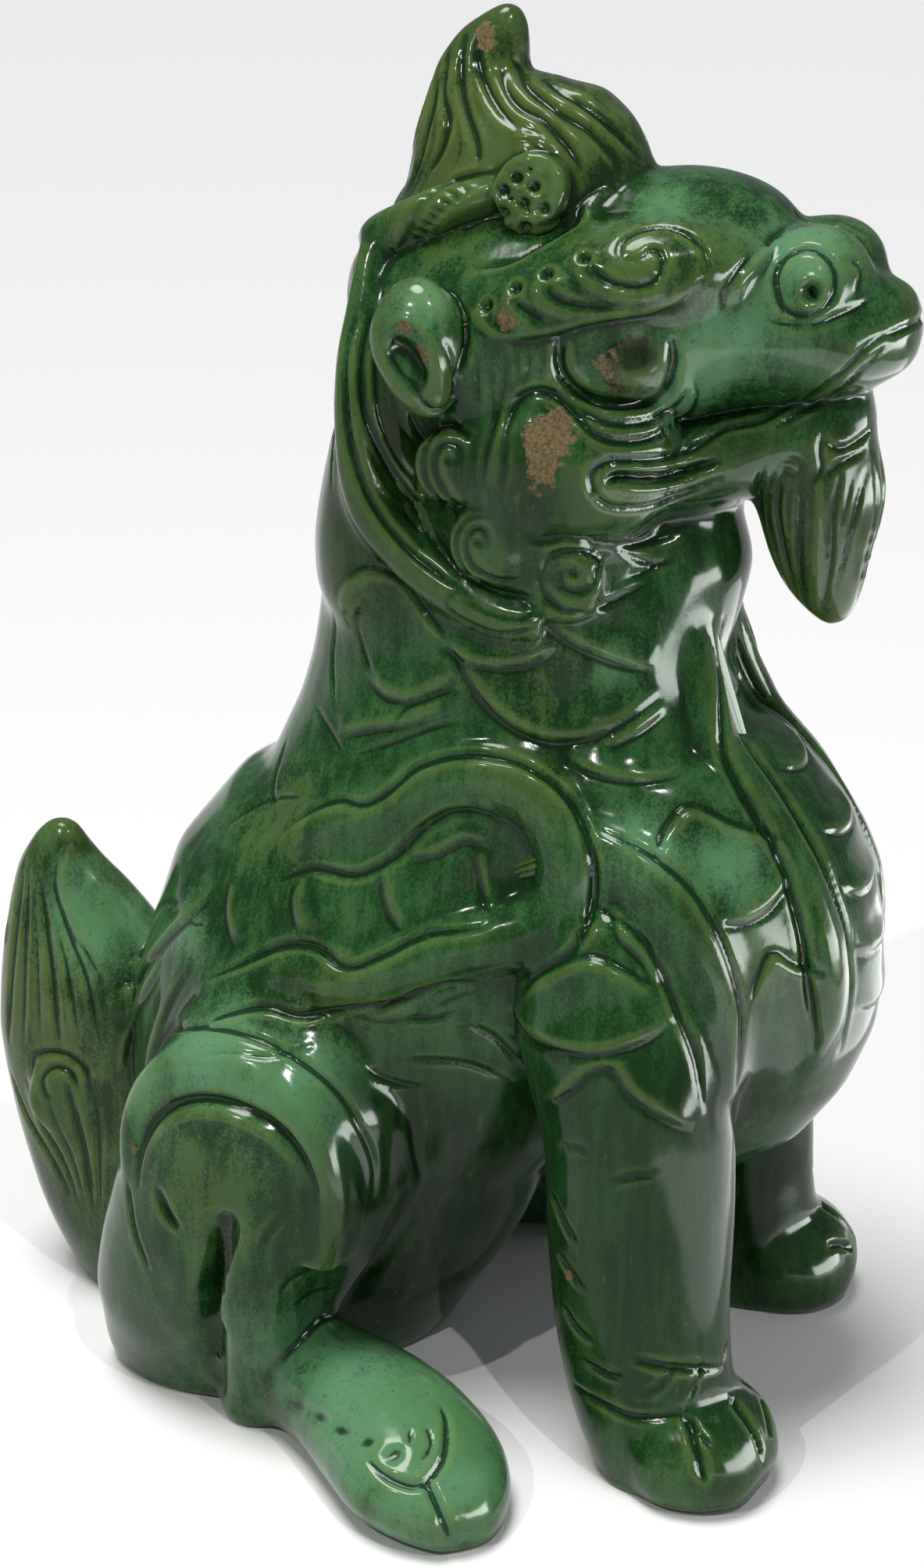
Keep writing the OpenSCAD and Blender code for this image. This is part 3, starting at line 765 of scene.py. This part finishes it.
# olive where it runs thin over hair and cheek
marks["olive"] = soft_spots([
    (20, -8, 465, 34), (24, 30, 462, 26), (50, 50, 345, 22), (30, 120, 335, 20), (20, -180, 130, 34),
    (24, -165, 70, 36), (50, 0, 440, 24), (50, 64, 424, 24), (36, 100, 424, 20), (55, 40, 292, 20),
    (50, -20, 360, 24), (84, -30, 168, 20), (104, -62, 104, 27), (58, 118, 190, 18), (56, -60, 225, 24),
    (72, 40, 255, 20), (66, -98, 180, 14), (84, 48, 48, 22)])
# painted shade: nearly black green on the shaded parts; the last spot darkens the pupil
marks["painted_shade"] = soft_spots([
    (62, 82, 140, 30), (62, 84, 90, 32), (62, 88, 45, 30), (84, -8, 112, 34), (74, 14, 84, 34),
    (50, 0, 50, 40), (34, 118, 330, 26), (58, 30, 350, 20), (60, 110, 150, 20), (50, -20, 350, 30),
    (56, 72, 397, 7)])
# bare clay where the glaze crawled or chipped off
marks["bare"] = soft_spots([
    (8, 3, 490, 4, 1.6), (52, 59.5, 394, 4.6, 1.4), (62, 45, 373, 7.5, 1.0), (62, 41, 362, 6.5, 1.7),
    (60, 28.5, 408, 3.4, 1.3), (8, -194, 143, 4, 1.4), (80, 36, 191, 4.6, 0.6), (60, 19, 308, 2.2),
    (98, -100, 108, 3.2), (86, 60, 80, 2.0, 1.2), (70, -2, 405, 3.4, 0.8), (71, 4, 397, 2.8, 1.8)])
marks["bare"] = np.clip(marks["bare"], 0, 1)


# ---------------------------------------------------------------- glazes

# milky turquoise glaze colours, also used as painted highlight
MILKY_AND_HIGHLIGHT = (0.070, 0.185, 0.070), (0.095, 0.235, 0.120)
# painted shade: the colours of the shaded parts
SHADED = (0.002, 0.011, 0.002), (0.009, 0.030, 0.006)
CLAY = (0.06, 0.045, 0.016), (0.16, 0.11, 0.045)
WORN = (0.11, 0.17, 0.045)
# pooled glaze and painted shade in the hollows
POOLED_GLAZE_AND_SHADE = (0.003, 0.016, 0.003)
SPECK = (0.006, 0.013, 0.003)
ASH = (0.10, 0.14, 0.04)


class Nodes:
    """The nodes of a new material. A method adds nodes and returns the socket that carries the result."""

    def __init__(self, name):
        self.material = bpy.data.materials.new(name)
        self.material.use_nodes = True
        self.material.node_tree.nodes.clear()
        self.coords = self.add("ShaderNodeTexCoord").outputs["Object"]

    def add(self, kind, **values):
        new = self.material.node_tree.nodes.new(kind)
        for key, value in values.items():
            setattr(new, key, value)
        return new

    def feed(self, socket, value):
        """Gives an input a number, a colour or the result of other nodes."""
        if isinstance(value, bpy.types.NodeSocket):
            self.material.node_tree.links.new(value, socket)
        elif isinstance(value, tuple):
            socket.default_value = (*value, 1)
        else:
            socket.default_value = value

    def mark(self, key):
        return self.add("ShaderNodeAttribute", attribute_name=key).outputs["Fac"]

    def noise(self, grain, detail, rough, stretch=(1, 1, 1), twist=0.0):
        place = self.add("ShaderNodeMapping")
        self.feed(place.inputs["Vector"], self.coords)
        place.inputs["Scale"].default_value = stretch
        new = self.add("ShaderNodeTexNoise")
        self.feed(new.inputs["Vector"], place.outputs[0])
        self.feed(new.inputs["Scale"], grain)
        self.feed(new.inputs["Detail"], detail)
        self.feed(new.inputs["Roughness"], rough)
        self.feed(new.inputs["Distortion"], twist)
        return new.outputs["Fac"]

    def step(self, value, low, high, to_low=0.0, to_high=1.0):
        """A soft step: to_low below low, and to_high above high."""
        new = self.add("ShaderNodeMapRange", interpolation_type="SMOOTHSTEP")
        self.feed(new.inputs["Value"], value)
        for key, number in (("From Min", low), ("From Max", high), ("To Min", to_low), ("To Max", to_high)):
            self.feed(new.inputs[key], number)
        return new.outputs["Result"]

    def sum(self, a, b, how="ADD"):
        new = self.add("ShaderNodeMath", operation=how)
        self.feed(new.inputs[0], a)
        self.feed(new.inputs[1], b)
        return new.outputs[0]

    def times(self, a, b):
        return self.sum(a, b, "MULTIPLY")

    def blend(self, share, a, b):
        """Colour a, with a share of colour b."""
        new = self.add("ShaderNodeMix", data_type="RGBA", blend_type="MIX")
        self.feed(new.inputs[0], share)
        self.feed(new.inputs[6], a)
        self.feed(new.inputs[7], b)
        return new.outputs[2]


def glaze_colour(n, deep, mid, pale, mottled):
    """Thick, even and thin glaze as it runs, then what the marks and the relief do to it, painted highlight
    and painted shade among them.
    """
    cloud = n.noise(22, 4, 0.55, (1, 1, 0.7), 0.6)
    runs = n.noise(240, 3, 0.6, (1, 1, 0.10), 0.2)
    tone = n.sum(n.step(cloud, 0.32, 0.68, -0.26, 0.26), n.step(mottled, 0.3, 0.7, -0.26, 0.26))
    tone = n.sum(tone, n.step(runs, 0.3, 0.7, -0.20, 0.20))
    tone = n.sum(tone, n.step(n.noise(900, 2, 0.6), 0.3, 0.7, -0.22, 0.22))
    faint = n.times(tone, 0.45)
    colour = n.blend(n.step(n.sum(tone, 0.45), 0.0, 0.9), deep, mid)

    yellow = n.sum(n.sum(n.mark("olive"), tone), n.step(mottled, 0.45, 0.7, 0, 0.25))
    colour = n.blend(n.step(yellow, 0.35, 1.1, 0, 0.8), colour, pale)
    # painted highlight, partly milky glaze: the teal patches lighten the colour towards turquoise
    milky_and_highlight = n.blend(n.step(cloud, 0.35, 0.65), *MILKY_AND_HIGHLIGHT)
    colour = n.blend(n.step(n.sum(n.mark("teal_and_highlight"), faint), 0.0, 1.0, 0, 0.88), colour, milky_and_highlight)
    # painted shade: the dark patches turn the colour nearly black green
    shade_colour = n.blend(n.step(runs, 0.35, 0.65), *SHADED)
    colour = n.blend(n.step(n.sum(n.mark("painted_shade"), faint), 0.0, 0.9, 0, 0.85), colour, shade_colour)

    depth = n.mark("cavity")
    colour = n.blend(n.times(n.step(depth, 0.42, 0.14), 0.32), colour, WORN)
    # pooled glaze and painted shade: the hollows darken to nearly black green
    colour = n.blend(n.times(n.step(depth, 0.54, 0.80), 0.86), colour, POOLED_GLAZE_AND_SHADE)
    colour = n.blend(n.times(n.step(n.noise(520, 2, 0.5), 0.665, 0.71), 0.4), colour, SPECK)
    return n.blend(n.times(n.step(n.noise(160, 4, 0.7, (1, 1, 0.3)), 0.60, 0.72), 0.25), colour, ASH)


def glaze_material(name, deep, mid, pale, gloss):
    """A running glaze over buff clay. The three greens are thick, even and thin glaze."""
    n = Nodes(name)
    mottled = n.noise(90, 5, 0.62, (1, 1, 0.55), 0.4)
    ragged = n.sum(n.mark("bare"), n.step(n.noise(200, 4, 0.6), 0.3, 0.7, -0.22, 0.22))
    bare = n.step(ragged, 0.40, 0.60)
    clay = n.blend(n.step(n.noise(900, 2, 0.6), 0.3, 0.7), *CLAY)
    shader = n.add("ShaderNodeBsdfPrincipled")
    n.feed(shader.inputs["Base Color"], n.blend(bare, glaze_colour(n, deep, mid, pale, mottled), clay))
    n.feed(shader.inputs["IOR"], 1.31)

    rough = n.add("ShaderNodeMix", data_type="FLOAT")
    n.feed(rough.inputs[0], bare)
    n.feed(rough.inputs[2], n.step(mottled, 0.2, 0.8, gloss, gloss + 0.09))
    n.feed(rough.inputs[3], 0.72)
    n.feed(shader.inputs["Roughness"], rough.outputs[0])

    height = n.sum(n.times(n.noise(60, 3, 0.5, (1, 1, 0.6)), 0.00030),
                   n.times(n.noise(420, 3, 0.6), 0.00004))
    height = n.sum(height, n.times(bare, -0.00035))
    bump = n.add("ShaderNodeBump")
    n.feed(bump.inputs["Strength"], 0.55)
    n.feed(bump.inputs["Distance"], 1.0)
    n.feed(bump.inputs["Height"], height)
    n.feed(shader.inputs["Normal"], bump.outputs["Normal"])
    n.feed(n.add("ShaderNodeOutputMaterial").inputs["Surface"], shader.outputs[0])
    return n.material


glazes = {
    "glaze": glaze_material(
        "green_glaze", (0.006, 0.030, 0.006), (0.018, 0.078, 0.018), (0.042, 0.085, 0.018), 0.10),
    "dark_glaze": glaze_material(
        "olive_glaze", (0.008, 0.028, 0.006), (0.028, 0.068, 0.014), (0.055, 0.085, 0.018), 0.12),
    "thin_glaze": glaze_material(
        "thin_glaze", (0.004, 0.010, 0.003), (0.030, 0.036, 0.010), (0.075, 0.060, 0.022), 0.12),
}
slot_of = {s["node"]: s["material_slot"] for s in frame["record"]["subparts"]}


# ---------------------------------------------------------------- cut into the sections again

def even_seams(label):
    """Gives a quad to the section that three of its four neighbours belong to."""
    rows = np.arange(len(label))
    for _ in range(6):
        votes = label[beside]
        same = (votes[:, :, None] == votes[:, None, :]).sum(axis=2)
        best = same.argmax(axis=1)
        label = np.where(same[rows, best] >= 3, votes[rows, best], label)
    return label


def give_strays(label):
    """Gives stray islands to a section beside them."""
    for _ in range(8):
        a, b = np.repeat(np.arange(len(label)), 4), beside.ravel()
        inside = (label[a] == label[b]) & (a < b)
        root = islands(len(label), np.column_stack([a, b])[inside])
        size = np.bincount(root, minlength=len(label))[root]
        biggest = np.zeros(len(names), int)
        np.maximum.at(biggest, label, size)
        stray = size < biggest[label] * 0.15
        if not stray.any():
            break
        rim = np.flatnonzero(stray & (label[beside] != label[:, None]).any(axis=1))
        other = label[beside[rim]]
        pick = (other != label[rim][:, None]).argmax(axis=1)
        give = {}
        for island, taker in zip(root[rim].tolist(), other[np.arange(len(rim)), pick].tolist()):
            give.setdefault(island, taker)
        for island, taker in give.items():
            label[root == island] = taker
    return label


def loops_round(q):
    """Boundary loops of an open patch of quads, each as a list of point indexes."""
    e = edges_of(q)
    have = set(map(tuple, e.tolist()))
    follow = {}
    for a, b in have:
        if (b, a) not in have:
            follow.setdefault(b, []).append(a)
    loops = []
    while follow:
        start = next(iter(follow))
        loop, now = [], start
        while now in follow:
            nxt = follow[now].pop()
            if not follow[now]:
                del follow[now]
            loop.append(now)
            now = nxt
            if now == start:
                break
        loops.append(loop)
    return loops


def keep_normals(mesh, used, skin_faces):
    """Gives the skin the normals of the whole lion, so that no seam shows, and leaves the caps flat."""
    corners = np.empty(len(mesh.loops), np.int32)
    mesh.loops.foreach_get("vertex_index", corners)
    own = np.empty(len(mesh.loops) * 3, np.float32)
    mesh.corner_normals.foreach_get("vector", own)
    sides = np.empty(len(mesh.polygons), np.int32)
    mesh.polygons.foreach_get("loop_total", sides)
    flat = np.repeat(np.arange(len(sides)) >= skin_faces, sides)
    shared = np.zeros((len(mesh.vertices), 3))
    shared[:len(used)] = normals[used]
    mesh.shade_smooth()
    mesh.normals_split_custom_set(np.where(flat[:, None], own.reshape(-1, 3), shared[corners]).tolist())


def section(name, index):
    """One section as a closed piece: its skin, and a cap set inside the body on each joint."""
    mine = quads[label == index]
    used = np.unique(mine)
    index_of = np.full(len(points), -1)
    index_of[used] = np.arange(len(used))
    verts = tooled[used].tolist()
    faces = index_of[mine].tolist()
    skin_faces = len(faces)
    for loop in loops_round(mine):
        if len(loop) < 3:
            continue
        ring = tooled[loop]
        inward = -normals[loop]
        depth = min(0.010, 0.25 * float(np.linalg.norm(ring.max(axis=0) - ring.min(axis=0))))
        base = len(verts)
        verts += (ring + inward * min(0.0015, depth * 0.4)).tolist()
        verts.append((ring.mean(axis=0) + inward.mean(axis=0) * depth).tolist())
        tip = base + len(loop)
        for i in range(len(loop)):
            j = (i + 1) % len(loop)
            a, b = int(index_of[loop[i]]), int(index_of[loop[j]])
            faces.append([a, b, base + j, base + i])
            faces.append([base + i, base + j, tip])
    mesh = bpy.data.meshes.new(name)
    mesh.from_pydata(verts, [], faces)
    mesh.update()
    keep_normals(mesh, used, skin_faces)
    for key, values in marks.items():
        data = np.zeros(len(verts), np.float32)
        data[:len(used)] = values[used]
        mesh.attributes.new(key, "FLOAT", "POINT").data.foreach_set("value", data)
    obj = bpy.data.objects.new(name + "_fired", mesh)
    bpy.context.collection.objects.link(obj)
    mesh.materials.append(glazes[slot_of[name]])
    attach(obj, "root")
    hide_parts(name)


label = give_strays(even_seams(label))
for i, name in enumerate(names):
    section(name, i)


# ---------------------------------------------------------------- floor, light, camera

def plain(name, colour, roughness):
    mat = bpy.data.materials.new(name)
    mat.use_nodes = True
    shader = mat.node_tree.nodes["Principled BSDF"]
    shader.inputs["Base Color"].default_value = (*colour, 1)
    shader.inputs["Roughness"].default_value = roughness
    return mat


floor_mesh = bpy.data.meshes.new("floor")
floor_mesh.from_pydata([(-14, -14, 0), (14, -14, 0), (14, 14, 0), (-14, 14, 0)], [], [(0, 1, 2, 3)])
floor = bpy.data.objects.new("floor", floor_mesh)
floor_mesh.materials.append(plain("floor_paint", (0.72, 0.72, 0.71), 0.8))
bpy.context.collection.objects.link(floor)
floor.location.z = cad_low[2] - 0.0002

world = bpy.data.worlds.new("room")
bpy.context.scene.world = world
world.use_nodes = True
world.node_tree.nodes["Background"].inputs["Color"].default_value = (0.92, 0.96, 1.0, 1)
world.node_tree.nodes["Background"].inputs["Strength"].default_value = 0.26

def lamp(name, where, look, size, power, tint=(1, 1, 1), tall=None):
    """A round lamp, or a rectangular one when tall is given."""
    data = bpy.data.lights.new(name, "AREA")
    data.shape = "RECTANGLE" if tall else "DISK"
    data.size = size
    if tall:
        data.size_y = tall
    data.energy = power
    data.color = tint
    obj = bpy.data.objects.new(name, data)
    obj.location = where
    obj.rotation_euler = (Vector(look) - Vector(where)).to_track_quat("-Z", "Y").to_euler()
    bpy.context.collection.objects.link(obj)
    return obj


sun = bpy.data.lights.new("skylight", "SUN")
sun.energy = 3.0
sun.angle = math.radians(24)
sun_object = bpy.data.objects.new("skylight", sun)
sun_object.rotation_euler = (math.radians(-8), math.radians(-6), 0)
bpy.context.collection.objects.link(sun_object)
lamp("spot_left", (-1.5, 0.5, 1.7), (0, 0, 0.25), 0.03, 12, (1, 0.98, 0.94))
lamp("spot_right", (-1.1, -0.9, 2.1), (0, 0, 0.3), 0.03, 12)
# a white table top and wall in front of the statue, seen only as milky reflections
white = (0.95, 1, 0.97)
table = lamp("white_table", (0.0, -0.45, 0.004), (0.0, -0.45, 1), 1.3, 4.5, white, tall=0.36)
wall = lamp("white_wall", (0.0, -1.3, 0.16), (0.0, 0, 0.16), 1.3, 36, white, tall=0.4)
for panel in (table, wall):
    panel.visible_camera = False
    panel.visible_diffuse = False

# the camera looks down on the right front of the statue, from a metre away
turn, rise, distance = math.radians(71), math.radians(20), 1.0
view_angle = math.radians(31.59)
aim_right, aim_y, aim_height = -0.02864, -0.048, 0.22814
right = Vector((math.cos(turn), -math.sin(turn), 0))
ahead = Vector((math.sin(turn) * math.cos(rise), math.cos(turn) * math.cos(rise), -math.sin(rise)))
centre = (Vector(cad_low) + Vector(cad_high)) / 2
target = right * aim_right + Vector((centre.x, centre.y + aim_y, cad_low[2] + aim_height))
camera = bpy.data.cameras.new("camera")
camera.lens = 0.5 * camera.sensor_width / math.tan(view_angle / 2)
camera_object = bpy.data.objects.new("camera", camera)
camera_object.location = target - ahead * distance
camera_object.rotation_euler = ahead.to_track_quat("-Z", "Y").to_euler()
bpy.context.collection.objects.link(camera_object)
bpy.context.scene.camera = camera_object
bpy.context.scene.view_settings.view_transform = "Standard"
